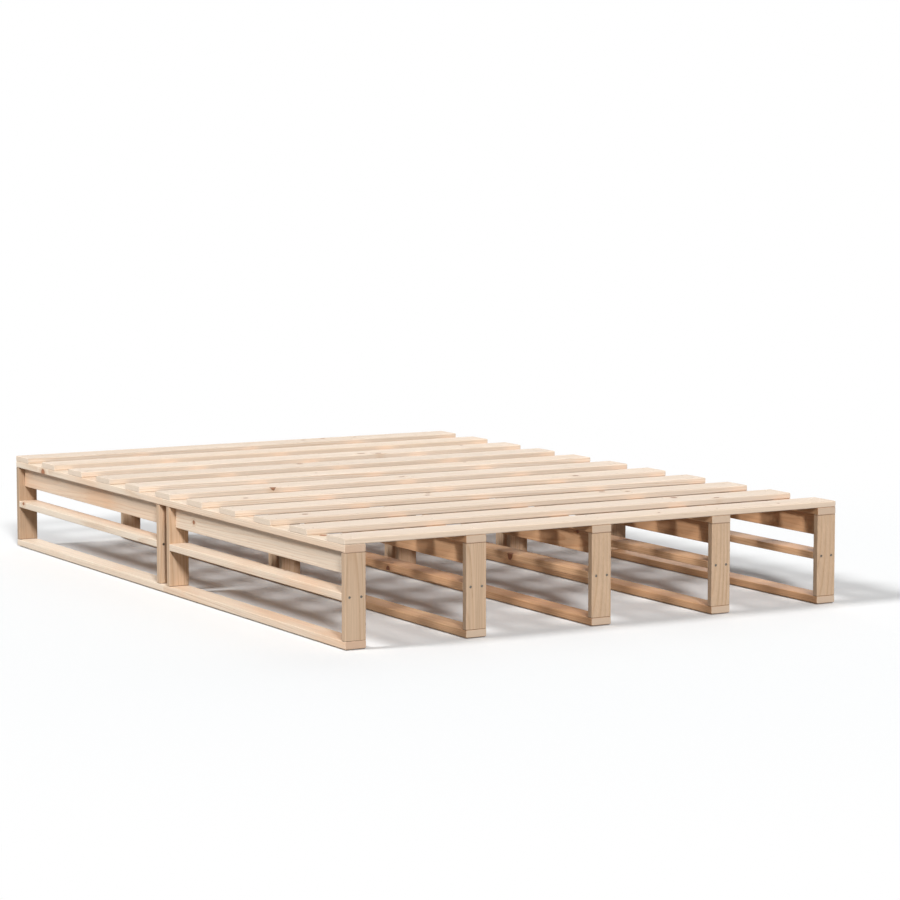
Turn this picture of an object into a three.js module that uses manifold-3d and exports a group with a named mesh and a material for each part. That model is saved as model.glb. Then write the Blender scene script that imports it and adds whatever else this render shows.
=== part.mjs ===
// Slatted pine bed frame. Five ladder frames run from the foot to the head of the bed and
// carry a deck of boards laid across them. Each ladder frame is two half frames that meet
// end to end at the middle of the bed.
// X runs across the bed, Y runs from the foot (negative) to the head (positive), Z is up.
// The origin is on the floor under the middle of the bed. Lengths are in millimetres.

import * as THREE from 'three';
import { mergeVertices } from 'three/addons/utils/BufferGeometryUtils.js';
import Module from 'manifold-3d';

// Overall size
const bedWidth = 1400;
const bedLength = 2000;

// Ladder frames, all cut from one board section
const boardWidth = 55;
const boardThickness = 18;
const postHeight = 207;
const midRailHeight = 111.5;
const midPostInset = 21.5;
const innerFrameShare = 0.25;

// Deck slats
const slatCount = 11;
const slatWidth = 90;
const slatThickness = 15;

// Screws, sunk a little below the wood
const screwHeadDiameter = 7.5;
const screwSink = 1.5;
const screwSides = 10;
const screwSpreadShares = { board: 0.56, slat: 0.56 };

// Eased long edges, as a share of the board's thickness
const edgeShares = { frame: 0.12, slat: 0.2 };
const edgeSteps = 1;

// How far a cut or a joined board runs on past the face that it meets
const overrun = boardThickness / 2;

// Heights that follow from the sizes above
const railTop = boardThickness;
const postTop = railTop + postHeight;
const frameTop = postTop + boardThickness;
const midRailTop = midRailHeight + boardThickness;
const screwHeight = (midRailHeight + midRailTop) / 2;

// Distances from the middle of the bed towards the foot or the head
const halfLength = bedLength / 2;
const endPostInside = halfLength - boardThickness;
const midPostOutside = midPostInset + boardThickness;
const postMiddles = [(endPostInside + halfLength) / 2, (midPostInset + midPostOutside) / 2];

const finishes = {
  framePine: { color: 0xc9a27c, roughness: 0.62, metalness: 0 },
  slatPine: { color: 0xe6cdb0, roughness: 0.6, metalness: 0 },
};

const wasm = await Module();
wasm.setup();

// A rectangle round the origin with rounded corners
function easedRectangle(width, height, radius) {
  const x = width / 2;
  const y = height / 2;
  const shape = new THREE.Shape();
  shape.moveTo(-x + radius, -y);
  shape.lineTo(x - radius, -y);
  shape.absarc(x - radius, -y + radius, radius, -Math.PI / 2, 0);
  shape.lineTo(x, y - radius);
  shape.absarc(x - radius, y - radius, radius, 0, Math.PI / 2);
  shape.lineTo(-x + radius, y);
  shape.absarc(-x + radius, y - radius, radius, Math.PI / 2, Math.PI);
  shape.lineTo(-x, -y + radius);
  shape.absarc(-x + radius, -y + radius, radius, Math.PI, Math.PI * 1.5);
  return shape;
}

// A board that fills the given box, with its four edges eased along the named axis
function board(along, from, to, edgeShare) {
  const low = new THREE.Vector3(...from);
  const high = new THREE.Vector3(...to);
  const size = high.clone().sub(low);
  const centre = low.clone().add(high).multiplyScalar(0.5);
  const sections = {
    x: [size.z, size.y, size.x],
    y: [size.x, size.z, size.y],
    z: [size.x, size.y, size.z],
  };
  const [width, height, length] = sections[along];
  const radius = Math.min(width, height) * edgeShare;
  const geometry = new THREE.ExtrudeGeometry(easedRectangle(width, height, radius), {
    depth: length,
    bevelEnabled: false,
    curveSegments: edgeSteps,
  });
  geometry.translate(0, 0, -length / 2);
  if (along === 'x') geometry.rotateY(Math.PI / 2);
  if (along === 'y') geometry.rotateX(Math.PI / 2);
  geometry.translate(centre.x, centre.y, centre.z);
  return geometry;
}

// The space over a sunk screw head, opening along the named axis at the given point
function screwRecess(along, at) {
  const geometry = new THREE.CylinderGeometry(
    screwHeadDiameter / 2,
    screwHeadDiameter / 2,
    screwSink * 2,
    screwSides,
  );
  if (along === 'z') geometry.rotateX(Math.PI / 2);
  geometry.translate(...at);
  return geometry;
}

function solid(geometry) {
  const bare = geometry.clone();
  bare.deleteAttribute('normal');
  bare.deleteAttribute('uv');
  const merged = mergeVertices(bare);
  return new wasm.Manifold(
    new wasm.Mesh({
      numProp: 3,
      vertProperties: new Float32Array(merged.attributes.position.array),
      triVerts: new Uint32Array(merged.index.array),
    }),
  );
}

function geometryOf(manifold) {
  const mesh = manifold.getMesh();
  const geometry = new THREE.BufferGeometry();
  geometry.setAttribute('position', new THREE.BufferAttribute(mesh.vertProperties, 3));
  geometry.setIndex(new THREE.BufferAttribute(mesh.triVerts, 1));
  const flat = geometry.toNonIndexed();
  flat.computeVertexNormals();
  return flat;
}

function joined(...geometries) {
  return geometryOf(geometries.map(solid).reduce((whole, next) => whole.add(next)));
}

function cut(geometry, recesses) {
  return geometryOf(recesses.map(solid).reduce((whole, next) => whole.subtract(next), solid(geometry)));
}

const bed = new THREE.Group();

function add(name, geometry, finish) {
  const mesh = new THREE.Mesh(geometry, new THREE.MeshStandardMaterial(finish));
  mesh.name = name;
  bed.add(mesh);
}

// A frame board that fills X, distances from the middle of the bed, and Z on one side
function frameBoard(along, side, acrossX, fromMiddle, upZ) {
  const reach = fromMiddle.map((distance) => distance * side).sort((a, b) => a - b);
  return board(
    along,
    [acrossX[0], reach[0], upZ[0]],
    [acrossX[1], reach[1], upZ[1]],
    edgeShares.frame,
  );
}

// A pair of screw recesses side by side across a frame board
function screwPair(along, x, y, z) {
  const spread = (boardWidth * screwSpreadShares.board) / 2;
  return [-spread, spread].map((offset) => screwRecess(along, [x + offset, y, z]));
}

// The recesses in a half frame's top or bottom rail, over the ends of its two posts
function railRecesses(x, side, z) {
  return postMiddles.flatMap((y) => screwPair('z', x, side * y, z));
}

// The frames' middles across the bed: the outer two are flush with the deck's ends
const frameMiddles = {
  left_outer: -(bedWidth - boardWidth) / 2,
  left_inner: -bedWidth * innerFrameShare,
  centre: 0,
  right_inner: bedWidth * innerFrameShare,
  right_outer: (bedWidth - boardWidth) / 2,
};

const halves = { foot: -1, head: 1 };

// Ladder frames
for (const [place, middle] of Object.entries(frameMiddles)) {
  const wide = [middle - boardWidth / 2, middle + boardWidth / 2];
  const narrow = [middle - boardThickness / 2, middle + boardThickness / 2];
  const between = [midPostOutside, endPostInside];

  for (const [half, side] of Object.entries(halves)) {
    const bottomRail = frameBoard('y', side, wide, [0, halfLength], [0, railTop]);
    const bottomRailSunk = cut(bottomRail, railRecesses(middle, side, 0));
    add(`${place}_${half}_bottom_rail`, bottomRailSunk, finishes.framePine);

    const endPost = frameBoard('z', side, wide, [endPostInside, halfLength], [railTop, postTop]);
    const endPostSunk = cut(endPost, screwPair('y', middle, side * halfLength, screwHeight));
    add(`${place}_${half}_post`, endPostSunk, finishes.framePine);

    const midRail = frameBoard('y', side, wide, between, [midRailHeight, midRailTop]);
    add(`${place}_${half}_mid_rail`, midRail, finishes.framePine);

    // The stiffener stands on edge under the top rail and runs up into it
    const topRail = frameBoard('y', side, wide, [0, halfLength], [postTop, frameTop]);
    const stiffener = frameBoard('y', side, narrow, between, [postTop - boardWidth, postTop + overrun]);
    const topBeam = cut(joined(topRail, stiffener), railRecesses(middle, side, frameTop));
    add(`${place}_${half}_top_beam`, topBeam, finishes.framePine);
  }

  // The two middle posts and the block that ties them across the joint of the halves
  const midPosts = Object.values(halves).map((side) => {
    const post = frameBoard('z', side, wide, [midPostInset, midPostOutside], [railTop, postTop]);
    return cut(post, screwPair('y', middle, side * midPostInset, screwHeight));
  });
  const blockEnds = midPostInset + overrun;
  const block = frameBoard('y', 1, narrow, [-blockEnds, blockEnds], [postTop - boardWidth, postTop]);
  add(`${place}_mid_post_pair`, joined(...midPosts, block), finishes.framePine);
}

// Deck slats, evenly spaced from the foot to the head, with two screws at every crossing
const slatPitch = (bedLength - slatWidth) / (slatCount - 1);
const slatTop = frameTop + slatThickness;
for (let i = 0; i < slatCount; i += 1) {
  const y = -(bedLength - slatWidth) / 2 + i * slatPitch;
  const slat = board(
    'x',
    [-bedWidth / 2, y - slatWidth / 2, frameTop],
    [bedWidth / 2, y + slatWidth / 2, slatTop],
    edgeShares.slat,
  );
  const spread = (slatWidth * screwSpreadShares.slat) / 2;
  const recesses = Object.values(frameMiddles).flatMap((x) =>
    [-spread, spread].map((offset) => screwRecess('z', [x, y + offset, slatTop])),
  );
  add(`slat_${String(i + 1).padStart(2, '0')}`, cut(slat, recesses), finishes.slatPine);
}

export default bed;
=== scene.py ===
"""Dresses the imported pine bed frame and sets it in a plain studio.

Every board is built again in the box of its node, with eased edges and sunk screw holes, and
is cut from its own piece of pine: growth rings, knots and fibres run through the board from
face to face and come out at its ends. Lengths are in metres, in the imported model's own frame.
"""

import logging
import math
import random
from collections.abc import Iterator, Sequence
from dataclasses import dataclass
from enum import Enum
from functools import cached_property

import bmesh
import bpy
from mathutils import Matrix, Vector


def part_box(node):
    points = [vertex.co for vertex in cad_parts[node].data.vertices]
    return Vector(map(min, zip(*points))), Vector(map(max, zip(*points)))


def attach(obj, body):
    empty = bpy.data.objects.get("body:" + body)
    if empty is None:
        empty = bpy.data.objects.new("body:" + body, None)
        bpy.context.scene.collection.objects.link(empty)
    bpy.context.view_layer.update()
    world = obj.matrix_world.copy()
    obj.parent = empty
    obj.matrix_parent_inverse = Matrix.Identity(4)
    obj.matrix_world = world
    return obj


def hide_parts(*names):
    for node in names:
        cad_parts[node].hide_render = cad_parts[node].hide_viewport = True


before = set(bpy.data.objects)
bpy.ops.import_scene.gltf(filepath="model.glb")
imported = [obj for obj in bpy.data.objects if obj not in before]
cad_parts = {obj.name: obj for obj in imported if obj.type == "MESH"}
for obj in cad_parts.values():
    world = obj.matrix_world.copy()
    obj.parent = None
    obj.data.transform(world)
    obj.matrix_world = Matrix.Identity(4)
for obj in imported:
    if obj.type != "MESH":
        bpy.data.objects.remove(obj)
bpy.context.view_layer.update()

MILLIMETRE = 0.001

SCREEN_TOP = 255
SCREEN_LIFT = 0.055
SCREEN_POWER = 2.4

WHITE = (1.0, 1.0, 1.0)
NOISE_MIDDLE = 0.5
NEW_STOP = 0.5
LEVEL_CAMERA = 90.0
ACROSS_FIBRES = (1.0, 1.0, 0.0)
ALONG_FIBRES = (0.0, 0.0, 1.0)

BRANCH_MARKS = ("branch_1", "branch_2", "branch_3")

log = logging.getLogger("bed_frame")

Value = bpy.types.NodeSocket | float | tuple[float, ...]
Inputs = dict[str | int, Value] | Sequence[Value]
Pair = tuple[float, float]
Triple = tuple[float, float, float]
Range = tuple[float, float]


def linear(red: int, green: int, blue: int) -> Triple:
    """Turns a colour on a screen, with levels from 0 to 255, into the scene's linear light."""
    shares = [(level / SCREEN_TOP + SCREEN_LIFT) / (1 + SCREEN_LIFT) for level in (red, green, blue)]
    return shares[0] ** SCREEN_POWER, shares[1] ** SCREEN_POWER, shares[2] ** SCREEN_POWER


def put_in_scene(name: str, data: bpy.types.ID) -> bpy.types.Object:
    """Makes an object of a mesh, a lamp or a camera and puts it in the scene.

    Args:
        name: The object's name.
        data: What it shows.

    Returns:
        The object, at the origin.
    """
    made = bpy.data.objects.new(name, data)
    bpy.context.scene.collection.objects.link(made)
    return made


class Axis(Enum):
    """A direction of the bed: across it, from the foot to the head, or up."""

    ACROSS = 0
    ALONG = 1
    UP = 2

    @property
    def vector(self) -> Vector:
        """The unit vector of the direction."""
        return Vector([float(i == self.value) for i in range(3)])


class Half(Enum):
    """A half of the bed, with the way from its middle as a sign along the bed."""

    FOOT = -1
    HEAD = 1


class Place(Enum):
    """The place of a ladder frame across the bed."""

    LEFT_OUTER = "left_outer"
    LEFT_INNER = "left_inner"
    CENTRE = "centre"
    RIGHT_INNER = "right_inner"
    RIGHT_OUTER = "right_outer"


@dataclass(frozen=True)
class Box:
    """The space that a board fills, by its lowest and highest corners."""

    low: Vector
    high: Vector

    @classmethod
    def of_node(cls, node: str) -> "Box":
        """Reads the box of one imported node."""
        return cls(*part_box(node))

    @property
    def size(self) -> Vector:
        """The lengths of the three sides."""
        return self.high - self.low

    @property
    def centre(self) -> Vector:
        """The middle of the box."""
        return (self.low + self.high) / 2

    def cropped(self, axis: Axis, low: float, high: float) -> "Box":
        """Gives the part of the box between two places along one axis.

        Args:
            axis: The direction that changes.
            low: The new lowest place.
            high: The new highest place.

        Returns:
            The smaller box.
        """
        corners = self.low.copy(), self.high.copy()
        corners[0][axis.value] = low
        corners[1][axis.value] = high
        return Box(*corners)

    def narrowed(self, axis: Axis, width: float) -> "Box":
        """Gives a box of that width along the axis, round the same middle."""
        middle = self.centre[axis.value]
        return self.cropped(axis, middle - width / 2, middle + width / 2)


@dataclass(frozen=True)
class Waves:
    """A noise, by its waves per metre across and along the fibres, and its detail."""

    across: float
    along: float
    detail: float

    @property
    def scales(self) -> Triple:
        """The waves per metre in X, Y and Z, where the fibres run along Z."""
        return self.across, self.across, self.along


@dataclass(frozen=True)
class Fade:
    """A smooth turn from a low level to a high one while a number goes from start to stop."""

    start: float
    stop: float
    low: float = 0.0
    high: float = 1.0


@dataclass(frozen=True)
class Spots:
    """A noise that comes and goes, from one level to another."""

    waves: Waves
    fade: Fade


class NodeGraph:
    """Adds shader nodes to one tree and links them."""

    def __init__(self, owner: bpy.types.Material | bpy.types.World) -> None:
        """Gives a material or the world an empty tree.

        Args:
            owner: The material or the world.
        """
        owner.use_nodes = True
        self.tree = owner.node_tree
        self.tree.nodes.clear()

    def node(self, kind: str, inputs: Inputs = (), **settings: object) -> bpy.types.Node:
        """Adds one node.

        Args:
            kind: The node's type name.
            inputs: What its sockets are given, by their names or numbers or else in their order.
            **settings: Properties of the node, such as its operation.

        Returns:
            The new node.
        """
        made = self.tree.nodes.new(kind)
        for name, setting in settings.items():
            setattr(made, name, setting)
        for key, value in inputs.items() if isinstance(inputs, dict) else enumerate(inputs):
            self.feed(made.inputs[key], value)
        return made

    def feed(self, socket: bpy.types.NodeSocket, value: Value) -> None:
        """Links a socket to another, or sets its own value.

        Args:
            socket: The input to fill.
            value: Where it comes from, or what it is.
        """
        if isinstance(value, bpy.types.NodeSocket):
            self.tree.links.new(value, socket)
        elif socket.type == "RGBA" and isinstance(value, tuple):
            socket.default_value = (*value, 1.0)
        else:
            socket.default_value = value

    def show(self, shader: bpy.types.NodeSocket, kind: str = "ShaderNodeOutputMaterial") -> None:
        """Makes a shader the one that the tree shows, through an output node of that kind."""
        self.node(kind, {"Surface": shader})

    def attribute(self, name: str) -> bpy.types.NodeSocket:
        """Reads a vector attribute of the mesh."""
        return self.node("ShaderNodeAttribute", attribute_name=name).outputs["Vector"]

    def math(self, operation: str, *values: Value) -> bpy.types.NodeSocket:
        """Works out one number from one to three inputs."""
        return self.node("ShaderNodeMath", values, operation=operation).outputs["Value"]

    def vector(self, operation: str, *values: Value) -> bpy.types.NodeSocket:
        """Works out one vector, or its length.

        Args:
            operation: The Vector Math node's operation.
            *values: The inputs, with the scale of SCALE second.

        Returns:
            The result.
        """
        inputs = dict(zip((0, "Scale"), values)) if operation == "SCALE" else values
        made = self.node("ShaderNodeVectorMath", inputs, operation=operation)
        is_number = operation in {"LENGTH", "DOT_PRODUCT", "DISTANCE"}
        return made.outputs["Value" if is_number else "Vector"]

    def split(self, vector: Value) -> list[bpy.types.NodeSocket]:
        """Takes a vector apart into its X, Y and Z."""
        return list(self.node("ShaderNodeSeparateXYZ", {"Vector": vector}).outputs)

    def noise(self, place: Value, waves: Waves, output: str = "Fac") -> bpy.types.NodeSocket:
        """Adds a noise.

        Args:
            place: The coordinates in metres, with the fibres along Z.
            waves: The noise's waves and detail.
            output: The noise node's output.

        Returns:
            The noise.
        """
        scaled = self.vector("MULTIPLY", place, waves.scales)
        inputs = {"Vector": scaled, "Scale": 1.0, "Detail": waves.detail}
        return self.node("ShaderNodeTexNoise", inputs).outputs[output]

    def fade(self, value: Value, fade: Fade) -> bpy.types.NodeSocket:
        """Reads the level that a number has in a fade."""
        inputs = (value, fade.start, fade.stop, fade.low, fade.high)
        return self.node("ShaderNodeMapRange", inputs, interpolation_type="SMOOTHSTEP").outputs["Result"]

    def mix(self, share: Value, first: Value, second: Value) -> bpy.types.NodeSocket:
        """Mixes two colours.

        Args:
            share: How much of the second.
            first: The first colour.
            second: The second colour.

        Returns:
            The mixed colour.
        """
        made = self.node("ShaderNodeMix", data_type="RGBA")
        values = {"Factor_Float": share, "A_Color": first, "B_Color": second}
        for socket in made.inputs:
            if socket.identifier in values:
                self.feed(socket, values[socket.identifier])
        return next(socket for socket in made.outputs if socket.identifier == "Result_Color")

    def ramp(self, value: Value, stops: Sequence[Pair]) -> bpy.types.NodeSocket:
        """Reads a level off a line of stops.

        Args:
            value: Where to read, from 0 to 1.
            stops: Pairs of place and level.

        Returns:
            The level.
        """
        made = self.node("ShaderNodeValToRGB", (value,))
        elements = made.color_ramp.elements
        while len(elements) < len(stops):
            elements.new(NEW_STOP)
        for element, (place, level) in zip(elements, stops):
            element.position = place
            element.color = (level, level, level, 1.0)
        return made.outputs["Color"]

    def shader(self, kind: str, inputs: Inputs = ()) -> bpy.types.NodeSocket:
        """Adds a shader of that kind with its inputs."""
        return self.node(kind, inputs).outputs[0]

    def blend(self, share: Value, *shaders: bpy.types.NodeSocket) -> bpy.types.NodeSocket:
        """Mixes two shaders, by the share of the second."""
        return self.shader("ShaderNodeMixShader", (share, *shaders))

    def backdrop_rays(self) -> bpy.types.NodeSocket:
        """Marks the rays that show the background: seen straight, in metal or through glass.

        Returns:
            The mark, 0 or 1.
        """
        rays = self.node("ShaderNodeLightPath").outputs
        mirrored = self.math("MAXIMUM", rays["Is Glossy Ray"], rays["Is Transmission Ray"])
        return self.math("MAXIMUM", rays["Is Camera Ray"], mirrored)


@dataclass(frozen=True)
class Rings:
    """The growth rings: pale in spring, darkening through summer, then a sharp step.

    Attributes:
        width: The mean width of a year's ring.
        bends: The noises that bend the tree, each with how far it bends.
        swell: How far the rings stand out round a knot, by the distance from it.
        season_pace: How often the rings' widths vary, per ring.
        season_reach: How much they vary, in rings.
        year: The level of summer wood through a year, as pairs of place and level.
        patches: How much the rings show, which varies.
    """

    width: float = 3.4 * MILLIMETRE
    bends: tuple[tuple[Waves, float], ...] = (
        (Waves(1.4, 1.1, 2.0), 16 * MILLIMETRE),
        (Waves(26.0, 7.0, 2.0), 1.3 * MILLIMETRE),
    )
    swell: Fade = Fade(0.0, 4.0, 5 * MILLIMETRE, 0.0)
    season_pace: float = 0.37
    season_reach: float = 1.6
    year: tuple[Pair, ...] = (
        (0.0, 0.55),
        (0.07, 0.04),
        (0.42, 0.06),
        (0.72, 0.42),
        (0.9, 1.0),
        (0.97, 0.9),
        (1.0, 0.55),
    )
    patches: Spots = Spots(Waves(24.0, 2.6, 2.0), Fade(0.25, 0.75, 0.45, 1.0))


@dataclass(frozen=True)
class KnotWood:
    """A branch where it comes out of a board. Distances from it are shares of its radius there.

    Attributes:
        growth: The branch's radius as a share of its greatest, by the distance from the pith.
        least: The least radius, which keeps a board without a knot from dividing by nothing.
        ragged: The noise that makes its outline uneven.
        ragged_reach: How uneven the outline is.
        halo: How much of the summer's colour lies round it.
        bark: How much of the bark's colour lies round it.
        inside: How much of its own colour it shows.
        ring_pace: How close its own rings are.
        ring_depth: How dark its own rings are.
        speckles: How dark the spots inside it are.
        stretch: How much longer than wide it is, along the fibres.
    """

    growth: Fade = Fade(0.0, 80 * MILLIMETRE, 0.3, 1.0)
    least: float = 1e-6
    ragged: Waves = Waves(240.0, 90.0, 3.0)
    ragged_reach: float = 0.5
    halo: Fade = Fade(1.0, 3.2, 0.5, 0.0)
    bark: Fade = Fade(1.0, 1.2, 0.85, 0.0)
    inside: Fade = Fade(0.88, 1.0, 0.94, 0.0)
    ring_pace: float = 24.0
    ring_depth: float = 0.3
    speckles: Spots = Spots(Waves(700.0, 700.0, 3.0), Fade(0.3, 0.7, 0.0, 0.4))
    stretch: float = 1.5


@dataclass(frozen=True)
class PlanedFace:
    """The fine grain of the clear wood, and how the plane and the saw left it.

    Attributes:
        fibres: The finest grain.
        fibre_shade: How the fibres lighten and darken the wood.
        streaks: How long faint streaks lighten and darken the wood.
        stains: How much of the heart's colour its wide warm stains have.
        heart_warmth: The same by the distance from the pith.
        pores: Where its short dark pores are.
        pore_depth: How dark a pore is, by the level of summer wood.
        edge: How sanded a point is, by its distance from a long edge.
        wear: How much of that the uneven sanding leaves.
        wear_colour: How much of the spring's colour sanding brings back.
        wear_polish: How much less rough sanding leaves the wood.
        end: Where a face counts as sawn across the fibres, by its slope to them.
        line: How much of the painted shade at the board's ends shows, by the distance from the end.
        roughness: The roughness, by the level of summer wood.
        gloss: The shader's specular level.
        fibre_height: How far the fibres stand out, as a share of the relief.
        ring_height: How far the summer wood stands out, as a share of the relief.
        relief: The depth of the relief.
        relief_strength: How strongly the relief turns the light.
    """

    fibres: Waves = Waves(620.0, 7.0, 4.0)
    fibre_shade: Fade = Fade(0.25, 0.75, 0.93, 1.05)
    streaks: Spots = Spots(Waves(150.0, 1.8, 2.0), Fade(0.3, 0.7, 0.95, 1.03))
    stains: Spots = Spots(Waves(11.0, 1.5, 3.0), Fade(0.4, 0.75, 0.0, 0.3))
    heart_warmth: Fade = Fade(30 * MILLIMETRE, 75 * MILLIMETRE, 0.5, 0.0)
    pores: Spots = Spots(Waves(1500.0, 40.0, 1.0), Fade(0.64, 0.74))
    pore_depth: Fade = Fade(0.1, 0.6, 0.1, 0.45)
    edge: Fade = Fade(0.8 * MILLIMETRE, 3.2 * MILLIMETRE, 1.0, 0.0)
    wear: Spots = Spots(Waves(90.0, 22.0, 3.0), Fade(0.3, 0.7))
    wear_colour: float = 0.28
    wear_polish: float = 0.06
    end: Fade = Fade(0.6, 0.9)
    line: Fade = Fade(1.0 * MILLIMETRE, 1.9 * MILLIMETRE, 1.0, 0.0)
    roughness: Fade = Fade(0.0, 1.0, 0.62, 0.5)
    gloss: float = 0.35
    fibre_height: float = 0.55
    ring_height: float = 0.35
    relief: float = 0.4 * MILLIMETRE
    relief_strength: float = 0.35


@dataclass(frozen=True)
class Pine:
    """Planed, unfinished pine.

    Attributes:
        name: The material's name.
        spring: The colour of the wood that grew in spring.
        summer: The colour of the wood that grew in summer.
        heart: The colour near the pith.
        sawn_end: The colour of the ends.
        knot: The colour of the knots.
        knot_bark: The colour of the bark round the knots.
        ring_contrast: How much of the summer's colour the rings reach.
        end_cover: How much of the ends' own colour the ends have.
        end_shade: How dark the painted shade is in the line where the board's ends meet another board.
        rings: The growth rings.
        branches: The knots' wood.
        face: The faces.
    """

    name: str
    spring: Triple
    summer: Triple
    heart: Triple
    sawn_end: Triple
    knot: Triple = linear(132, 78, 48)
    knot_bark: Triple = linear(82, 46, 30)
    ring_contrast: float = 0.72
    end_cover: float = 0.55
    end_shade: float = 0.0
    rings: Rings = Rings()
    branches: KnotWood = KnotWood()
    face: PlanedFace = PlanedFace()

    @cached_property
    def material(self) -> bpy.types.Material:
        """The wood, which reads where each board sat in its tree.

        Returns:
            The material, which is built once.
        """
        made = bpy.data.materials.new(self.name)
        PineGraph(made, self).build()
        return made


class PineGraph(NodeGraph):
    """The nodes of one pine."""

    def __init__(self, owner: bpy.types.Material, pine: Pine) -> None:
        """Reads what each board's mesh says of its tree.

        Args:
            owner: The material.
            pine: The pine.
        """
        super().__init__(owner)
        self.pine = pine
        self.grain = self.attribute("grain")
        self.brightness, self.pace, self.warmth = self.split(self.attribute("board"))
        place = self.vector("ABSOLUTE", self.attribute("place"))
        inside = self.vector("SUBTRACT", self.attribute("reach"), place)
        self.side_gap, self.face_gap, self.end_gap = self.split(inside)

    def build(self) -> None:
        """Makes the whole material."""
        face = self.pine.face
        knots = self._knot_distance()
        radius = self._ring_radius(knots)
        ring = self._ring_level(radius)
        edge = self._edge_wear()
        fibre = self.noise(self.grain, face.fibres)
        colour = self._knots_over(self._clear_wood(radius, ring, fibre), knots)
        colour = self.mix(self.math("MULTIPLY", edge, face.wear_colour), colour, self.pine.spring)
        colour = self._ends_over(colour)
        rough = self.fade(ring, face.roughness)
        rough = self.math("SUBTRACT", rough, self.math("MULTIPLY", edge, face.wear_polish))
        height = self.math("MULTIPLY", ring, face.ring_height)
        height = self.math("MULTIPLY_ADD", fibre, face.fibre_height, height)
        inputs = {"Height": height, "Strength": face.relief_strength, "Distance": face.relief}
        relief = self.node("ShaderNodeBump", inputs)
        inputs = {
            "Base Color": colour,
            "Roughness": rough,
            "Specular IOR Level": face.gloss,
            "Normal": relief.outputs["Normal"],
        }
        self.show(self.shader("ShaderNodeBsdfPrincipled", inputs))

    def _spots(self, spots: Spots) -> bpy.types.NodeSocket:
        """Adds a noise that runs through the wood, and gives its level."""
        return self.fade(self.noise(self.grain, spots.waves), spots.fade)

    def _knot_distance(self) -> bpy.types.NodeSocket:
        """Measures how far a point lies from the branches that grew through the board.

        Returns:
            The distance from the nearest branch's middle, as a share of its radius there.
        """
        branches = self.pine.branches
        squeeze = (1.0, 1.0, 1 / branches.stretch)
        shares = []
        for size, name in zip(self.split(self.attribute("branch_sizes")), BRANCH_MARKS):
            branch = self.attribute(name)
            way = self.vector("MULTIPLY", branch, ACROSS_FIBRES)
            outward = self.math("MAXIMUM", self.vector("DOT_PRODUCT", self.grain, way), 0.0)
            height = self.vector("MULTIPLY", branch, ALONG_FIBRES)
            middle = self.vector("ADD", self.vector("SCALE", way, outward), height)
            radius = self.math("MULTIPLY", size, self.fade(outward, branches.growth))
            radius = self.math("MAXIMUM", radius, branches.least)
            gap = self.vector("MULTIPLY", self.vector("SUBTRACT", self.grain, middle), squeeze)
            shares.append(self.math("DIVIDE", self.vector("LENGTH", gap), radius))
        nearest = self.math("MINIMUM", self.math("MINIMUM", shares[0], shares[1]), shares[2])
        ragged = self.math("SUBTRACT", self.noise(self.grain, branches.ragged), NOISE_MIDDLE)
        return self.math("MULTIPLY_ADD", ragged, branches.ragged_reach, nearest)

    def _ring_radius(self, knots: Value) -> bpy.types.NodeSocket:
        """Measures how far a point lies from the middle of the tree, with the tree's own bends.

        Args:
            knots: The distance from the nearest branch, as a share of its radius.

        Returns:
            The radius in metres.
        """
        bent = self.grain
        for waves, reach in self.pine.rings.bends:
            drift = self.vector("SUBTRACT", self.noise(self.grain, waves, "Color"), (NOISE_MIDDLE,) * 3)
            bent = self.vector("ADD", bent, self.vector("SCALE", drift, reach))
        radius = self.vector("LENGTH", self.vector("MULTIPLY", bent, ACROSS_FIBRES))
        return self.math("ADD", radius, self.fade(knots, self.pine.rings.swell))

    def _ring_level(self, radius: Value) -> bpy.types.NodeSocket:
        """Gives the growth rings.

        Args:
            radius: The distance from the middle of the tree.

        Returns:
            The level of summer wood, from 0 to 1.
        """
        rings = self.pine.rings
        count = self.math("DIVIDE", radius, self.math("MULTIPLY", self.pace, rings.width))
        inputs = {"W": self.math("MULTIPLY", count, rings.season_pace), "Scale": 1.0}
        seasons = self.node("ShaderNodeTexNoise", inputs, noise_dimensions="1D")
        count = self.math("MULTIPLY_ADD", seasons.outputs["Fac"], rings.season_reach, count)
        level = self.ramp(self.math("FRACT", count), rings.year)
        return self.math("MULTIPLY", level, self._spots(rings.patches))

    def _edge_wear(self) -> bpy.types.NodeSocket:
        """Finds the eased edges, which are sanded smoother and paler than the faces.

        Returns:
            How much the point is sanded, from 0 to 1.
        """
        face = self.pine.face
        across = self.math("MAXIMUM", self.side_gap, self.face_gap)
        nearer = self.math("MINIMUM", self.side_gap, self.face_gap)
        gap = self.math("MINIMUM", across, self.math("MAXIMUM", nearer, self.end_gap))
        return self.math("MULTIPLY", self.fade(gap, face.edge), self._spots(face.wear))

    def _clear_wood(self, radius: Value, ring: Value, fibre: Value) -> bpy.types.NodeSocket:
        """Colours the wood between the knots.

        Args:
            radius: The distance from the middle of the tree.
            ring: The level of summer wood.
            fibre: The noise of the fibres.

        Returns:
            The colour.
        """
        pine = self.pine
        face = pine.face
        clear = self.mix(self.math("MULTIPLY", ring, pine.ring_contrast), pine.spring, pine.summer)
        warm = self.math("ADD", self._spots(face.stains), self.warmth)
        warm = self.math("MAXIMUM", self.fade(radius, face.heart_warmth), warm)
        clear = self.mix(warm, clear, pine.heart)
        shade = self.math("MULTIPLY", self.fade(fibre, face.fibre_shade), self._spots(face.streaks))
        clear = self.vector("SCALE", clear, self.math("MULTIPLY", shade, self.brightness))
        pore = self.math("MULTIPLY", self._spots(face.pores), self.fade(ring, face.pore_depth))
        return self.mix(pore, clear, pine.knot)

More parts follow.
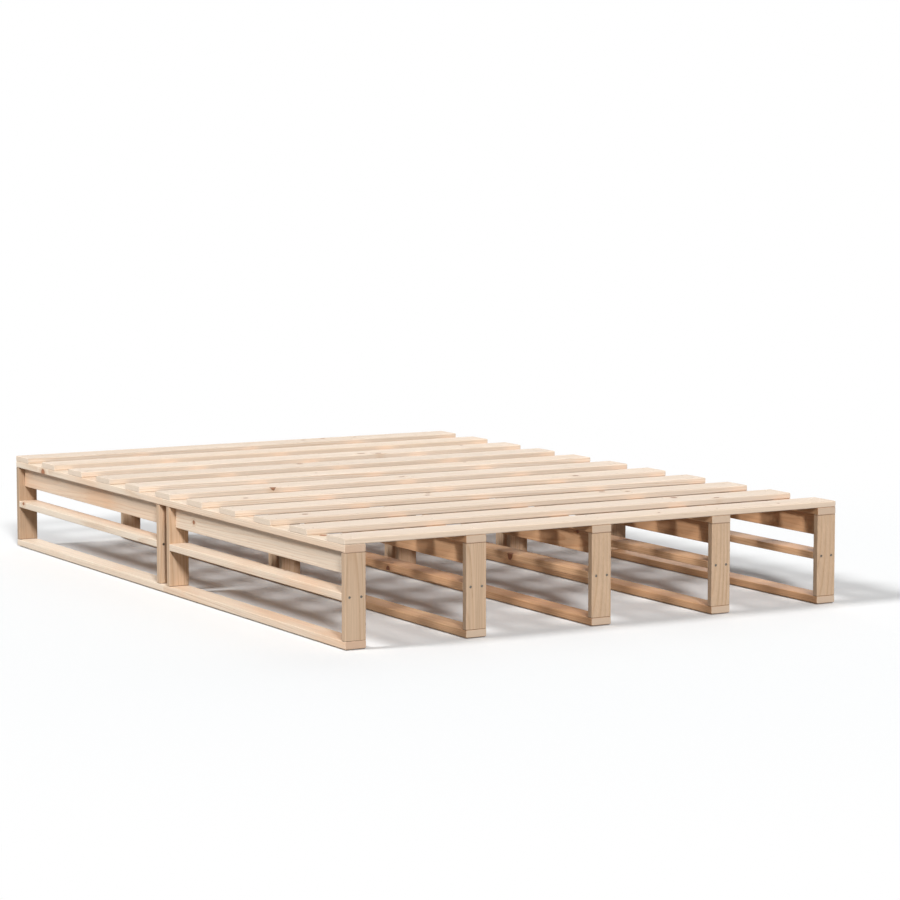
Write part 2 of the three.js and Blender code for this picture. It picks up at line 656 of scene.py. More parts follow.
    def _knots_over(self, colour: Value, knots: Value) -> bpy.types.NodeSocket:
        """Lays the knots over the clear wood, each with its dark bark and a tan halo.

        Args:
            colour: The clear wood.
            knots: The distance from the nearest branch, as a share of its radius.

        Returns:
            The colour.
        """
        pine = self.pine
        branches = pine.branches
        colour = self.mix(self.fade(knots, branches.halo), colour, pine.summer)
        colour = self.mix(self.fade(knots, branches.bark), colour, pine.knot_bark)
        rings = self.math("SINE", self.math("MULTIPLY", knots, branches.ring_pace))
        dark = self.math("MULTIPLY_ADD", rings, branches.ring_depth, self._spots(branches.speckles))
        inside = self.mix(self.math("MAXIMUM", dark, 0.0), pine.knot, pine.knot_bark)
        return self.mix(self.fade(knots, branches.inside), colour, inside)

    def _ends_over(self, colour: Value) -> bpy.types.NodeSocket:
        """Colours the sawn ends, and paints a line of shade where they meet another board.

        Args:
            colour: The wood of the faces.

        Returns:
            The colour.
        """
        pine = self.pine
        facing = self.node("ShaderNodeNewGeometry").outputs["Normal"]
        slope = self.vector("DOT_PRODUCT", facing, self.attribute("fibres"))
        end = self.fade(self.math("ABSOLUTE", slope), pine.face.end)
        colour = self.mix(self.math("MULTIPLY", end, pine.end_cover), colour, pine.sawn_end)
        # Painted shade: a dark line near the ends, where the board meets another board, stands in for
        # the shade in the joint.
        line = self.math("MULTIPLY", self.fade(self.end_gap, pine.face.line), pine.end_shade)
        line = self.math("MULTIPLY", line, self.math("SUBTRACT", 1.0, end))
        return self.mix(line, colour, pine.knot_bark)


POST_PINE = Pine(
    name="post_pine",
    spring=linear(207, 179, 151),
    summer=linear(174, 134, 98),
    heart=linear(200, 166, 134),
    sawn_end=linear(206, 182, 158),
    ring_contrast=0.64,
    # Only the posts get the painted shade in the line at their ends.
    end_shade=0.75,
)

# Painted light, in part: the left outer frame's rails are paler than the others, which paints the
# stronger light that falls on the bed's left side.
PALE_LIT_PINE = Pine(
    name="pale_pine",
    spring=linear(242, 226, 206),
    summer=linear(217, 184, 150),
    heart=linear(236, 190, 150),
    sawn_end=linear(196, 165, 140),
    knot=linear(176, 116, 78),
    knot_bark=linear(132, 80, 54),
    end_cover=0.8,
    face=PlanedFace(stains=Spots(Waves(11.0, 3.5, 3.0), Fade(0.4, 0.75, 0.0, 0.5))),
)

# Painted shade, in part: this pine is darker and more orange than the wood's own colour, which paints
# the shade and warm bounce light under the deck.
RAIL_SHADED_PINE = Pine(
    name="rail_pine",
    spring=linear(212, 173, 135),
    summer=linear(176, 121, 80),
    heart=linear(198, 144, 101),
    sawn_end=linear(205, 186, 166),
    end_cover=0.75,
)

SLAT_PINE = Pine(
    name="slat_pine",
    spring=linear(236, 219, 201),
    summer=linear(209, 178, 147),
    heart=linear(228, 203, 177),
    sawn_end=linear(240, 221, 200),
    knot=linear(160, 106, 70),
    knot_bark=linear(112, 68, 44),
)


@dataclass(frozen=True)
class ZincedSteel:
    """The dull zinc on the screws' heads.

    Attributes:
        name: The material's name.
        slot: The record's material slot.
        bright: The colour of the brighter spots.
        dull: The colour of the duller spots.
        mottle: The noise of the spots.
        mottle_share: Where a spot is bright.
        roughness: The roughness, by the noise.
    """

    name: str = "zinced_steel"
    slot: str = "screws"
    bright: Triple = (0.31, 0.285, 0.25)
    dull: Triple = (0.135, 0.12, 0.1)
    mottle: Waves = Waves(900.0, 900.0, 3.0)
    mottle_share: Fade = Fade(0.3, 0.7)
    roughness: Fade = Fade(0.2, 0.8, 0.3, 0.48)

    @cached_property
    def material(self) -> bpy.types.Material:
        """The metal, mottled and finely scuffed.

        Returns:
            The material, which is built once.
        """
        made = bpy.data.materials.new(self.name)
        graph = NodeGraph(made)
        place = graph.node("ShaderNodeTexCoord").outputs["Object"]
        mottle = graph.noise(place, self.mottle)
        inputs = {
            "Base Color": graph.mix(graph.fade(mottle, self.mottle_share), self.dull, self.bright),
            "Metallic": 1.0,
            "Roughness": graph.fade(mottle, self.roughness),
        }
        graph.show(graph.shader("ShaderNodeBsdfPrincipled", inputs))
        return made


@dataclass(frozen=True)
class Knot:
    """Where a branch shows on a board.

    Attributes:
        along: Its place along the fibres, as a share of the board's length from its low end.
        across: Its place across the width, from -1 to 1.
        radius: Its radius.
        through: Its place through the thickness, from -1 to 1, where it comes out at an edge.
    """

    along: float
    across: float
    radius: float
    through: float = 0.0


NO_KNOT = Knot(0.5, 0.0, 0.0)


class Cut(Enum):
    """Where in its tree a board was sawn."""

    ANYWHERE = "left to chance"
    BESIDE = "with the tree's middle beside it, so that its knot comes out at its edge"
    LEANING = "near the middle of a leaning tree, so that its grain slopes"


@dataclass(frozen=True)
class Pick:
    """A board that is picked for the one knot that it shows, or for none, and for its looks.

    Attributes:
        knot: The knot.
        cut: Where in its tree it was sawn.
        character: The board's brightness, growth and warmth, where they are not left to chance.
    """

    knot: Knot = NO_KNOT
    cut: Cut = Cut.ANYWHERE
    character: Triple | None = None


PICKS = {
    "left_outer_foot_bottom_rail_board": Pick(character=(0.97, 0.85, 0.16)),
    "left_inner_foot_bottom_rail_board": Pick(),
    "right_outer_foot_bottom_rail_board": Pick(),
    "left_inner_foot_mid_rail_board": Pick(Knot(0.386, -0.85, 7.5 * MILLIMETRE)),
    "centre_foot_mid_rail_board": Pick(Knot(0.386, -0.85, 8.0 * MILLIMETRE)),
    "left_outer_head_bottom_rail_board": Pick(character=(1.0, 1.0, -0.3)),
    "left_outer_head_mid_rail_board": Pick(
        Knot(0.965, -1.0, 4.5 * MILLIMETRE, 0.5), Cut.BESIDE, (0.98, 1.25, -0.3)
    ),
    "left_outer_head_top_rail_board": Pick(Knot(0.801, -1.0, 8.0 * MILLIMETRE, -0.4), Cut.BESIDE),
    # Painted shade: the head post's low brightness stands in for the shade that falls on it.
    "left_outer_head_post_board": Pick(character=(0.77, 1.0, 0.0)),
    "left_outer_head_stiffener_board": Pick(character=(0.97, 1.1, 0.35)),
    "left_outer_foot_post_board": Pick(character=(0.95, 1.05, 0.08)),
    "left_inner_foot_post_board": Pick(character=(0.97, 0.45, 0.08)),
    "centre_foot_post_board": Pick(cut=Cut.LEANING, character=(0.99, 2.9, 0.1)),
    "right_inner_foot_post_board": Pick(cut=Cut.LEANING, character=(0.99, 2.7, 0.1)),
    "right_outer_foot_post_board": Pick(cut=Cut.LEANING, character=(0.99, 3.1, 0.1)),
}


@dataclass(frozen=True)
class Tree:
    """How a board was sawn from its tree.

    Attributes:
        pith: How far the board lies from the tree's middle, across its width and its thickness.
        lean: How far the tree's middle drifts for each metre along the board.
        start: Where along the tree the board begins.
        character: The board's own brightness, growth and warmth.
    """

    pith: Pair
    lean: Pair
    start: float
    character: Triple

    def branch(self, knot: Knot, reach: Vector) -> Vector:
        """Works out the branch that shows as a knot.

        Args:
            knot: The knot.
            reach: Half the board's width, thickness and length.

        Returns:
            The branch's way out of the tree, and its height in the tree.
        """
        along = (2 * knot.along - 1) * reach.z
        drift = Vector(self.lean) * along
        shown = Vector((knot.across * reach.x, knot.through * reach.y))
        way = Vector(self.pith) + shown + drift
        return Vector((*way.normalized(), self.start + along))


@dataclass(frozen=True)
class Sawmill:
    """Picks the tree of each board and its chance knots, the same ones each time.

    Attributes:
        pith_distance: How far a board lies from its tree's middle, in millimetres.
        turn_spread: How far a board is usually turned from lying flat to the rings, in degrees.
        lean_across: The tree's lean across a board's width.
        lean_through: The tree's lean through a board's thickness.
        leaning_pith: How far a board that is cut from a leaning tree lies from its middle.
        leaning_lean: How that tree leans.
        tree_length: How far up the tree a board may begin.
        brightness: The boards' own brightness.
        pace: How fast the trees grew.
        warmth: How much of the heart's colour is in the boards.
        knot_reach: Where along a board a knot may be, as shares of its length.
        knot_radius: The knots' radius, in millimetres.
        knot_spacing: How far apart knots are on the average.
        clear_length: The length up to which boards are picked without knots.
    """

    pith_distance: Range = (28, 105)
    turn_spread: float = 32
    lean_across: Range = (-0.012, 0.012)
    lean_through: Range = (-0.022, 0.022)
    leaning_pith: Pair = (48 * MILLIMETRE, 42 * MILLIMETRE)
    leaning_lean: Pair = (0.06, -0.15)
    tree_length: Range = (0, 30)
    brightness: Range = (0.94, 1.03)
    pace: Range = (0.8, 1.35)
    warmth: Range = (0.0, 0.14)
    knot_reach: Range = (0.06, 0.94)
    knot_radius: Range = (2.5, 7.5)
    knot_spacing: float = 0.75
    clear_length: float = 0.3

    def tree(self, name: str, pick: Pick | None) -> Tree:
        """Picks a tree for a board.

        Args:
            name: The board's name, which seeds the choice.
            pick: What the board is picked for.

        Returns:
            The tree.
        """
        dice = random.Random(name)
        away = dice.uniform(*self.pith_distance) * MILLIMETRE
        turn = math.radians(dice.gauss(0, self.turn_spread)) + dice.choice((0.0, math.pi))
        cut = pick.cut if pick else Cut.ANYWHERE
        if cut is Cut.BESIDE:
            turn = -math.pi / 2
        lean = dice.uniform(*self.lean_across), dice.uniform(*self.lean_through)
        start = dice.uniform(*self.tree_length)
        character = tuple(dice.uniform(*reach) for reach in (self.brightness, self.pace, self.warmth))
        if pick and pick.character:
            character = pick.character
        pith = (away * math.sin(turn), away * math.cos(turn))
        if cut is Cut.LEANING:
            pith, lean = self.leaning_pith, self.leaning_lean
        return Tree(pith, lean, start, character)

    def knots(self, name: str, length: float) -> Iterator[Knot]:
        """Picks knots for a board.

        Args:
            name: The board's name, which seeds the choice.
            length: The board's length.

        Yields:
            The knots.
        """
        dice = random.Random(f"{name} knots")
        chance = length / self.knot_spacing / len(BRANCH_MARKS)
        for _ in BRANCH_MARKS:
            along = dice.uniform(*self.knot_reach)
            across = dice.uniform(-1, 1)
            radius = dice.uniform(*self.knot_radius) * MILLIMETRE
            if length > self.clear_length and dice.random() < chance:
                yield Knot(along, across, radius)


@dataclass(frozen=True)
class Screw:
    """A countersunk screw, by the point where its axis leaves the wood and its way out."""

    point: Vector
    outward: Vector

    def stand(self, turn: float = 0.0) -> Matrix:
        """Gives the matrix that stands a shape made along Z on the wood, turned about its axis."""
        upright = self.outward.to_track_quat("Z", "Y").to_matrix().to_4x4()
        return Matrix.Translation(self.point) @ upright @ Matrix.Rotation(turn, 4, "Z")


def screw_pair(middle: Vector, aside: Vector, outward: Vector) -> list[Screw]:
    """Sets two screws on both sides of a point on the wood."""
    return [Screw(middle + aside * side, outward) for side in (-1, 1)]


@dataclass(frozen=True)
class ScrewSize:
    """The sizes that all the screws share.

    Attributes:
        head_radius: The head's radius.
        hole_radius: The radius of the hole where it leaves the wood.
        head_depth: The head's depth.
        neck_share: The radius under the head, as a share of the head's.
        sink: How far the head is sunk into the wood.
        overrun: How far the plug that cuts the hole stands out of the wood.
        cross_reach: Half the length of the cross's bars.
        cross_width: The width of the cross's bars.
        cross_depth: The depth of the cross.
        head_sides: The number of sides of a head.
        hole_sides: The number of sides of a hole.
    """

    head_radius: float = 3.2 * MILLIMETRE
    hole_radius: float = 3.6 * MILLIMETRE
    head_depth: float = 2.0 * MILLIMETRE
    neck_share: float = 0.5
    sink: float = 0.7 * MILLIMETRE
    overrun: float = 0.5 * MILLIMETRE
    cross_reach: float = 2.1 * MILLIMETRE
    cross_width: float = 1.0 * MILLIMETRE
    cross_depth: float = 1.3 * MILLIMETRE
    head_sides: int = 16
    hole_sides: int = 20

    def hole(self, screws: Sequence[Screw]) -> bmesh.types.BMesh:
        """Makes the plugs that cut the screws' holes.

        Args:
            screws: The screws.

        Returns:
            The mesh of the plugs.
        """
        mesh = bmesh.new()
        depth = self.sink + self.head_depth + self.overrun
        middle = Matrix.Translation((0, 0, self.overrun - depth / 2))
        for screw in screws:
            bmesh.ops.create_cone(
                mesh,
                cap_ends=True,
                segments=self.hole_sides,
                radius1=self.head_radius,
                radius2=self.hole_radius,
                depth=depth,
                matrix=screw.stand() @ middle,
            )
        return mesh

    def head(self) -> bmesh.types.BMesh:
        """Makes a screw's head with its top on the XY plane.

        Returns:
            The mesh of the head.
        """
        mesh = bmesh.new()
        bmesh.ops.create_cone(
            mesh,
            cap_ends=True,
            segments=self.head_sides,
            radius1=self.head_radius * self.neck_share,
            radius2=self.head_radius,
            depth=self.head_depth,
            matrix=Matrix.Translation((0, 0, -self.head_depth / 2)),
        )
        return mesh

    def cross(self) -> list[bmesh.types.BMesh]:
        """Makes the two bars that cut the cross into a head.

        Returns:
            The mesh of each bar.
        """
        bars = []
        for turn in (0, math.pi / 2):
            mesh = bmesh.new()
            bmesh.ops.create_cube(mesh, size=2.0)
            half = (self.cross_reach, self.cross_width / 2, self.cross_depth)
            bmesh.ops.scale(mesh, verts=mesh.verts, vec=half)
            bmesh.ops.rotate(mesh, verts=mesh.verts, matrix=Matrix.Rotation(turn, 3, "Z"))
            bars.append(mesh)
        return bars


@dataclass(frozen=True)
class Workshop:
    """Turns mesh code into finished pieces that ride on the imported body.

    Attributes:
        body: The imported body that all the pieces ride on.
        sharp_angle: The angle, in degrees, past which two faces meet in a sharp edge.
        sawmill: Where the boards come from.
        screw_size: The sizes of the screws.
    """

    body: str = "root"
    sharp_angle: float = 38.0
    sawmill: Sawmill = Sawmill()
    screw_size: ScrewSize = ScrewSize()

    def place(self, name: str, mesh: bmesh.types.BMesh) -> bpy.types.Object:
        """Makes an object of a mesh and puts it in the scene.

        Args:
            name: The object's name.
            mesh: The mesh, which is used up.

        Returns:
            The object, at the origin.
        """
        data = bpy.data.meshes.new(name)
        mesh.to_mesh(data)
        mesh.free()
        return put_in_scene(name, data)

    def piece(self, name: str, mesh: bmesh.types.BMesh, finish: Pine | ZincedSteel) -> bpy.types.Object:
        """Makes a piece and gives it its finish.

        Args:
            name: The piece's name.
            mesh: The mesh, which is used up.
            finish: The finish.

        Returns:
            The piece's object.
        """
        bmesh.ops.recalc_face_normals(mesh, faces=mesh.faces)
        made = self.place(name, mesh)
        made.data.materials.append(finish.material)
        return made

    def carve(self, piece: bpy.types.Object, plug: bmesh.types.BMesh) -> None:
        """Cuts a shape out of a piece.

        Args:
            piece: The piece.
            plug: The shape, which is used up.
        """
        cutter = self.place("plug", plug)
        cut = piece.modifiers.new("holes", "BOOLEAN")
        cut.operation = "DIFFERENCE"
        cut.solver = "EXACT"
        cut.object = cutter
        evaluated = piece.evaluated_get(bpy.context.evaluated_depsgraph_get())
        carved = bpy.data.meshes.new_from_object(evaluated)
        piece.modifiers.clear()
        bpy.data.meshes.remove(cutter.data)
        uncut = piece.data
        piece.data = carved
        bpy.data.meshes.remove(uncut)
        carved.name = piece.name

    def hand_over(self, piece: bpy.types.Object, slot: str, nodes: Sequence[str] = ()) -> None:
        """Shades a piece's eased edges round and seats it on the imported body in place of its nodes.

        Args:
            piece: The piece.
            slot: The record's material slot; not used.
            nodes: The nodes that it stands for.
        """
        piece.data.shade_smooth()
        piece.data.set_sharp_from_angle(angle=math.radians(self.sharp_angle))
        weigh = piece.modifiers.new("flat_faces", "WEIGHTED_NORMAL")
        weigh.keep_sharp = True
        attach(piece, self.body)
        if nodes:
            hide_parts(*nodes)
        log.info("%s: %d faces", piece.name, len(piece.data.polygons))


@dataclass(frozen=True)
class Board:
    """One piece of timber with its four long edges eased.

    Attributes:
        name: The piece's name.
        node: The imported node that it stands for.
        box: The space that it fills.
        fibres: The way its fibres run.
        finish: Its wood.
        slot: The record's material slot.
        screws: The screws that are sunk into it.
        edge_share: The radius of its long edges, as a share of its thickness.
        edge_steps: The number of flats round a long edge.
        end_radius: The radius of the edges round its ends.
        end_steps: The number of flats round those.
        end_slope: How squarely a face looks along the fibres to be one of the ends.
    """

    name: str
    node: str
    box: Box
    fibres: Axis
    finish: Pine
    slot: str
    screws: tuple[Screw, ...] = ()
    edge_share: float = 0.12
    edge_steps: int = 4
    end_radius: float = 1.3 * MILLIMETRE
    end_steps: int = 3
    end_slope: float = 0.99

    @property
    def order(self) -> tuple[int, int, int]:
        """The board's wide and thin directions and that of its fibres.

        Returns:
            Their axis numbers.
        """
        size = self.box.size
        sides = [axis.value for axis in Axis if axis is not self.fibres]
        thin, wide = sorted(sides, key=lambda index: size[index])
        return wide, thin, self.fibres.value

    def _is_long(self, edge: bmesh.types.BMEdge) -> bool:
        """Whether an edge runs along the fibres."""
        rise = edge.verts[0].co[self.fibres.value] - edge.verts[1].co[self.fibres.value]
        return abs(rise) > self.end_radius

    def _shape(self) -> bmesh.types.BMesh:
        """Planes the board and eases its edges.

        Returns:
            The mesh.
        """
        mesh = bmesh.new()
        bmesh.ops.create_cube(mesh, size=1.0)
        bmesh.ops.scale(mesh, verts=mesh.verts, vec=self.box.size)
        bmesh.ops.translate(mesh, verts=mesh.verts, vec=self.box.centre)
        _, thin, way = self.order
        long_edges = [edge for edge in mesh.edges if self._is_long(edge)]
        self._ease(mesh, long_edges, self.edge_share * self.box.size[thin], self.edge_steps)
        ends = [face for face in mesh.faces if abs(face.normal[way]) > self.end_slope]
        rims = list(dict.fromkeys(edge for face in ends for edge in face.edges))
        self._ease(mesh, rims, self.end_radius, self.end_steps)
        return mesh

    @staticmethod
    def _ease(
        mesh: bmesh.types.BMesh, edges: list[bmesh.types.BMEdge], radius: float, steps: int
    ) -> None:
        """Rounds some edges.

        Args:
            mesh: The mesh.
            edges: The edges to round.
            radius: The radius.
            steps: The number of flats round each edge.
        """
        bmesh.ops.bevel(
            mesh,
            geom=edges,
            offset=radius,
            segments=steps,
            profile=0.5,
            affect="EDGES",
            material=-1,
            clamp_overlap=True,
        )

    def _mark(self, piece: bpy.types.Object, sawmill: Sawmill) -> None:
        """Writes where each point of the board sat in its tree, for the wood to read.

        Args:
            piece: The board's object.
            sawmill: Where the board comes from.
        """
        pick = PICKS.get(self.name)
        tree = sawmill.tree(self.name, pick)
        size = self.box.size
        reach = Vector([size[index] / 2 for index in self.order])
        shown = [pick.knot] if pick else sawmill.knots(self.name, size[self.fibres.value])
        knots = [*shown, *[NO_KNOT] * len(BRANCH_MARKS)][: len(BRANCH_MARKS)]
        away = [vertex.co - self.box.centre for vertex in piece.data.vertices]
        places = [Vector([gap[index] for index in self.order]) for gap in away]
        drift = Vector((*tree.lean, 0))
        offset = Vector((*tree.pith, tree.start))
        same = {
            "reach": reach,
            "board": tree.character,
            "fibres": self.fibres.vector,
            "branch_sizes": [knot.radius for knot in knots],
            **{mark: tree.branch(knot, reach) for mark, knot in zip(BRANCH_MARKS, knots)},
        }
        marks = {
            "place": places,
            "grain": [place + drift * place.z + offset for place in places],
            **{name: [value] * len(places) for name, value in same.items()},
        }
        for name, vectors in marks.items():
            layer = piece.data.attributes.new(name, "FLOAT_VECTOR", "POINT")
            layer.data.foreach_set("vector", [number for vector in vectors for number in vector])

    def build(self, shop: Workshop) -> None:
        """Makes the board.

        Args:
            shop: The workshop that finishes it.
        """
        piece = shop.piece(self.name, self._shape(), self.finish)
        if self.screws:
            shop.carve(piece, shop.screw_size.hole(self.screws))
        self._mark(piece, shop.sawmill)
        shop.hand_over(piece, self.slot, [self.node])


@dataclass(frozen=True)
class ScrewSet:
    """The screws of one sub-assembly, as one piece."""

    name: str
    screws: tuple[Screw, ...]
    finish: ZincedSteel

    def build(self, shop: Workshop) -> None:
        """Makes the screws' heads, each turned its own way.

        Args:
            shop: The workshop that finishes them.
        """
        dice = random.Random(self.name)
        size = shop.screw_size
        piece = shop.piece(self.name, size.head(), self.finish)
        for bar in size.cross():
            shop.carve(piece, bar)
        mesh = bmesh.new()
        sunk = Matrix.Translation((0, 0, -size.sink))
        for screw in self.screws:
            done = len(mesh.verts)
            mesh.from_mesh(piece.data)
            mesh.verts.ensure_lookup_table()
            seat = screw.stand(dice.uniform(0, math.pi / 2)) @ sunk
            bmesh.ops.transform(mesh, matrix=seat, verts=mesh.verts[done:])
        mesh.to_mesh(piece.data)
        mesh.free()
        shop.hand_over(piece, self.finish.slot)


@dataclass(frozen=True)
class HalfFrame:
    """One half of a ladder frame, from the middle of the bed to its foot or its head.

    Attributes:
        place: The ladder frame's place across the bed.
        half: The half of the bed.
        slot: The record's material slot.
        screw_spread: How far apart a pair of screws is, as a share of a board's width.
    """

    place: Place
    half: Half
    slot: str = "frame_pine"
    screw_spread: float = 0.56

    @property
    def name(self) -> str:
        """The half frame's name, as its nodes begin."""
        return f"{self.place.value}_{self.half.name.lower()}"

    @property
    def mid_post_node(self) -> str:
        """The node of the two middle posts and the block between them."""
        return f"{self.place.value}_mid_post_pair"

    def _box(self, piece: str) -> Box:
        """The box of one of this half's nodes."""
        return Box.of_node(f"{self.name}_{piece}")

    @property
    def thickness(self) -> float:
        """The thickness that all the frame's boards share."""
        return self._box("bottom_rail").size.z

    @property
    def top_rail(self) -> Box:
        """The flat board over the posts."""
        beam = self._box("top_beam")
        return beam.cropped(Axis.UP, beam.high.z - self.thickness, beam.high.z)

    @property
    def stiffener(self) -> Box:
        """The board on edge under the top rail, between the posts.

        Returns:
            Its box.
        """
        beam = self._box("top_beam")
        between = self._box("mid_rail")
        under = beam.cropped(Axis.UP, beam.low.z, beam.high.z - self.thickness)
        shorter = under.cropped(Axis.ALONG, between.low.y, between.high.y)
        return shorter.narrowed(Axis.ACROSS, self.thickness)

    @property
    def mid_post(self) -> Box:
        """The post next to the middle of the bed.

        Returns:
            Its box.
        """
        pair = Box.of_node(self.mid_post_node)
        if self.half is Half.FOOT:
            return pair.cropped(Axis.ALONG, pair.low.y, pair.low.y + self.thickness)
        return pair.cropped(Axis.ALONG, pair.high.y - self.thickness, pair.high.y)

    def _screws(self, board: Box, axis: Axis, way: int, *held: Box) -> tuple[Screw, ...]:
        """Sets two screws side by side through a board into each of the boards that it holds.

        Args:
            board: The board that the screws enter.
            axis: The direction that they run in.
            way: The side of the board that they enter, as a sign along the axis.
            *held: The boards that they hold.

        Returns:
            The screws.
        """
        found: list[Screw] = []
        aside = Axis.ACROSS.vector * board.size.x * self.screw_spread / 2
        for middle in (other.centre for other in held):
            middle[axis.value] = (board.high if way > 0 else board.low)[axis.value]
            found += screw_pair(middle, aside, axis.vector * way)
        return tuple(found)

    def boards(self) -> Iterator[Board]:
        """Lists the half frame's six boards.

        Yields:
            The boards, each with its screws.
        """
        low, post, middle = (self._box(piece) for piece in ("bottom_rail", "post", "mid_rail"))
        posts = (post, self.mid_post)
        way = self.half.value
        beam = f"{self.name}_top_beam"
        # The left outer frame's rails get the paler pine, which paints the stronger light on that side;
        # the inner rails get the darker, more orange pine, which partly paints the shade and warm bounce
        # under the deck.
        rail_wood = (Axis.ALONG, PALE_LIT_PINE if self.place is Place.LEFT_OUTER else RAIL_SHADED_PINE)
        listed = (
            ("bottom_rail", f"{self.name}_bottom_rail", low, self._screws(low, Axis.UP, -1, *posts)),
            ("post", f"{self.name}_post", post, self._screws(post, Axis.ALONG, way, middle)),
            ("mid_rail", f"{self.name}_mid_rail", middle, ()),
            ("top_rail", beam, self.top_rail, self._screws(self.top_rail, Axis.UP, 1, *posts)),
            ("stiffener", beam, self.stiffener, ()),
            ("mid_post", self.mid_post_node, posts[1], self._screws(posts[1], Axis.ALONG, -way, middle)),
        )
        for piece, node, box, screws in listed:
            wood = (Axis.UP, POST_PINE) if piece.endswith("post") else rail_wood
            yield Board(f"{self.name}_{piece}_board", node, box, *wood, self.slot, screws)


@dataclass(frozen=True)
class LadderFrame:
    """A ladder frame: two half frames and the block that ties them at the middle."""

    place: Place
    steel: ZincedSteel

    def build(self, shop: Workshop) -> None:
        """Makes every board of the frame and its screws.

        Args:
            shop: The workshop that finishes them.
        """
        foot, head = (HalfFrame(self.place, half) for half in Half)
        between = foot.stiffener.cropped(Axis.ALONG, foot.mid_post.high.y, head.mid_post.low.y)
        name = f"{self.place.value}_joining_block"
        block = Board(name, foot.mid_post_node, between, Axis.ALONG, RAIL_SHADED_PINE, foot.slot)
        boards = [*foot.boards(), *head.boards(), block]
        for board in boards:
            board.build(shop)
        screws = tuple(screw for board in boards for screw in board.screws)
        ScrewSet(f"{self.place.value}_screws", screws, self.steel).build(shop)


@dataclass(frozen=True)
class Deck:
    """The slats across the ladder frames.

    Attributes:
        steel: The screws' finish.
        slot: The record's material slot.
        screw_spread: How far apart a pair of screws is, as a share of a slat's width.
        edge_share: The radius of a slat's long edges, as a share of its thickness.
    """

    steel: ZincedSteel
    slot: str = "slat_pine"
    screw_spread: float = 0.56
    edge_share: float = 0.2

    def _screws(self, slat: Box) -> Iterator[Screw]:
        """Sets two screws at each crossing of a slat and a ladder frame.

        Args:
            slat: The slat.

        Yields:
            The screws.
        """
        aside = Axis.ALONG.vector * slat.size.y * self.screw_spread / 2
        for place in Place:
            crossing = Box.of_node(f"{place.value}_foot_bottom_rail").centre.x
            yield from screw_pair(Vector((crossing, slat.centre.y, slat.high.z)), aside, Axis.UP.vector)

    def build(self, shop: Workshop) -> None:
        """Makes the slats and their screws, from the foot to the head.

        Args:
            shop: The workshop that finishes them.
        """
        for node in sorted(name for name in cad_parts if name.startswith("slat_")):
            box = Box.of_node(node)
            screws = tuple(self._screws(box))
            slat = (f"{node}_board", node, box, Axis.ACROSS, SLAT_PINE, self.slot, screws)
            Board(*slat, edge_share=self.edge_share).build(shop)
            ScrewSet(f"{node}_screws", screws, self.steel).build(shop)


@dataclass(frozen=True)
class Lamp:
    """A far lamp.

    Attributes:
        name: Its name.
        towards: The way towards it.
        level: The share of a surface's own colour that it gives a surface facing it.
        spread: Its width in the sky, in degrees.
    """

    name: str
    towards: Triple
    level: float
    spread: float

    def hang(self, height: float) -> None:
        """Hangs the lamp.

        Args:
            height: How far from the origin it hangs.
        """
        data = bpy.data.lights.new(self.name, "SUN")
        data.energy = self.level * math.pi
        data.angle = math.radians(self.spread)
        lamp = put_in_scene(self.name, data)
        lamp.rotation_euler = Vector(self.towards).to_track_quat("Z", "Y").to_euler()
        lamp.location = Vector(self.towards).normalized() * height


@dataclass(frozen=True)
class Floor:
    """The pale floor, which turns into the white background away from the bed.

    Attributes:
        colour: Its colour.
        bounce: The colour of the light that it throws back.
        reach: Half its width.
        gap: How far it lies under the bed.
        contact: How near it still lights a face that stands on it.
        middle: The middle of the part that keeps the bed's shadow.
        far: How white it is, by the distance from there.
    """

    colour: Triple = (0.97, 0.98, 0.985)
    bounce: Triple = (0.28, 0.28, 0.28)
    reach: float = 60.0
    gap: float = 2.8 * MILLIMETRE
    contact: float = 3.6 * MILLIMETRE
    middle: Triple = (0.1, -0.5, 0.0)
    far: Fade = Fade(1.25, 2.9)

    @property
    def material(self) -> bpy.types.Material:
        """The floor's material, which is clear from below.

        Returns:
            The material.
        """
        made = bpy.data.materials.new("floor")
        graph = NodeGraph(made)
        seen = graph.backdrop_rays()
        place = graph.node("ShaderNodeTexCoord").outputs["Object"]
        away = graph.vector("DISTANCE", place, self.middle)
        colour = graph.mix(seen, self.bounce, self.colour)
        matt = graph.shader("ShaderNodeBsdfDiffuse", {"Color": colour})
        white = graph.shader("ShaderNodeEmission", {"Color": WHITE, "Strength": 1.0})
        shown = graph.blend(graph.math("MULTIPLY", graph.fade(away, self.far), seen), matt, white)
        glow = graph.shader("ShaderNodeEmission", {"Color": self.bounce, "Strength": 1.0})
        length = graph.node("ShaderNodeLightPath").outputs["Ray Length"]
        lit = graph.blend(graph.math("LESS_THAN", length, self.contact), shown, glow)
        clear = graph.shader("ShaderNodeBsdfTransparent")
        below = graph.node("ShaderNodeNewGeometry").outputs["Backfacing"]
        graph.show(graph.blend(below, lit, clear))
        return made

    def build(self, shop: Workshop) -> None:
        """Lays the floor.

        Args:
            shop: The workshop that places it.
        """
        mesh = bmesh.new()
        down = Matrix.Translation((0, 0, -self.gap))
        bmesh.ops.create_grid(mesh, x_segments=1, y_segments=1, size=self.reach, matrix=down)
        floor = shop.place("floor", mesh)
        floor.data.materials.append(self.material)


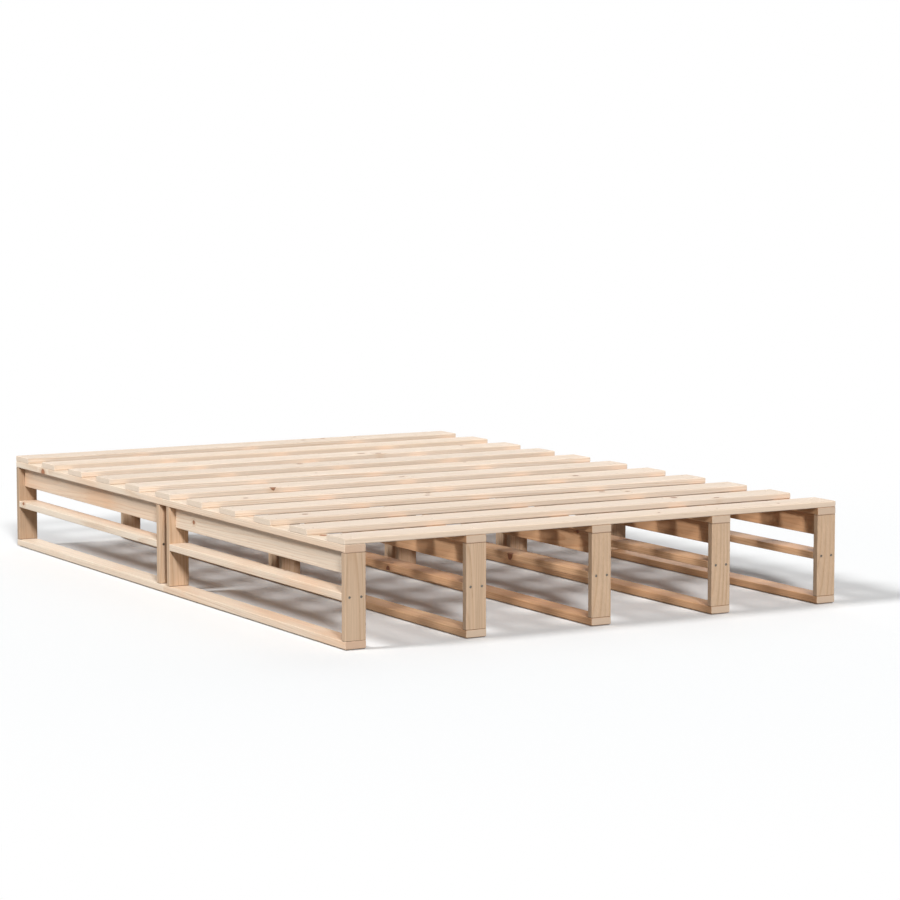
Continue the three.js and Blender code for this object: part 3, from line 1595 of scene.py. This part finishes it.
@dataclass(frozen=True)
class Studio:
    """A pale floor, a key light, softer lights round it and the camera.

    Attributes:
        camera_place: Where the camera stands.
        camera_turn: Its turn about the vertical, in degrees; 0 looks along the bed to its head.
        camera_tilt: Its tilt above the level, in degrees.
        focal_share: Its focal length, as a share of the sensor's width.
        sensor: The width of its sensor, in millimetres.
        lamps: The lamps.
        lamp_height: How far from the origin the lamps hang.
        sky: The level of the light from all round.
        floor: The floor.
    """

    camera_place: Triple = (-3.939, -7.102, 1.214)
    camera_turn: float = -29.96
    camera_tilt: float = -6.21
    focal_share: float = 3.379
    sensor: float = 36.0
    lamps: tuple[Lamp, ...] = (
        Lamp("key", (-0.274, -0.851, 0.448), 0.9, 8.0),
        Lamp("side", (-0.74, 0.1, 0.66), 0.6, 14.0),
        Lamp("fill", (0.66, 0.64, 0.4), 0.22, 60.0),
    )
    lamp_height: float = 6.0
    sky: float = 0.12
    floor: Floor = Floor()

    def _world(self) -> None:
        """Lights the scene evenly and shows a white background."""
        world = bpy.data.worlds.new("studio")
        bpy.context.scene.world = world
        graph = NodeGraph(world)
        light = graph.shader("ShaderNodeBackground", {"Color": WHITE, "Strength": self.sky})
        backdrop = graph.shader("ShaderNodeBackground", {"Color": WHITE, "Strength": 1.0})
        graph.show(graph.blend(graph.backdrop_rays(), light, backdrop), "ShaderNodeOutputWorld")

    def _camera(self) -> None:
        """Stands the camera where it sees the bed from the foot and its left."""
        data = bpy.data.cameras.new("camera")
        data.sensor_width = self.sensor
        data.lens = self.sensor * self.focal_share
        camera = put_in_scene("camera", data)
        camera.location = self.camera_place
        turns = (LEVEL_CAMERA + self.camera_tilt, 0.0, self.camera_turn)
        camera.rotation_euler = [math.radians(turn) for turn in turns]
        bpy.context.scene.camera = camera

    def build(self, shop: Workshop) -> None:
        """Makes the studio and sets how the render shows its colours.

        Args:
            shop: The workshop that places the floor.
        """
        self._world()
        self.floor.build(shop)
        for lamp in self.lamps:
            lamp.hang(self.lamp_height)
        self._camera()
        bpy.context.scene.view_settings.view_transform = "Standard"
        log.info("studio ready")


def main() -> None:
    """Builds the bed frame and its studio."""
    logging.basicConfig(level=logging.INFO, format="%(message)s")
    shop = Workshop()
    steel = ZincedSteel()
    for place in Place:
        LadderFrame(place, steel).build(shop)
    Deck(steel).build(shop)
    Studio().build(shop)


if __name__ == "__main__":
    main()
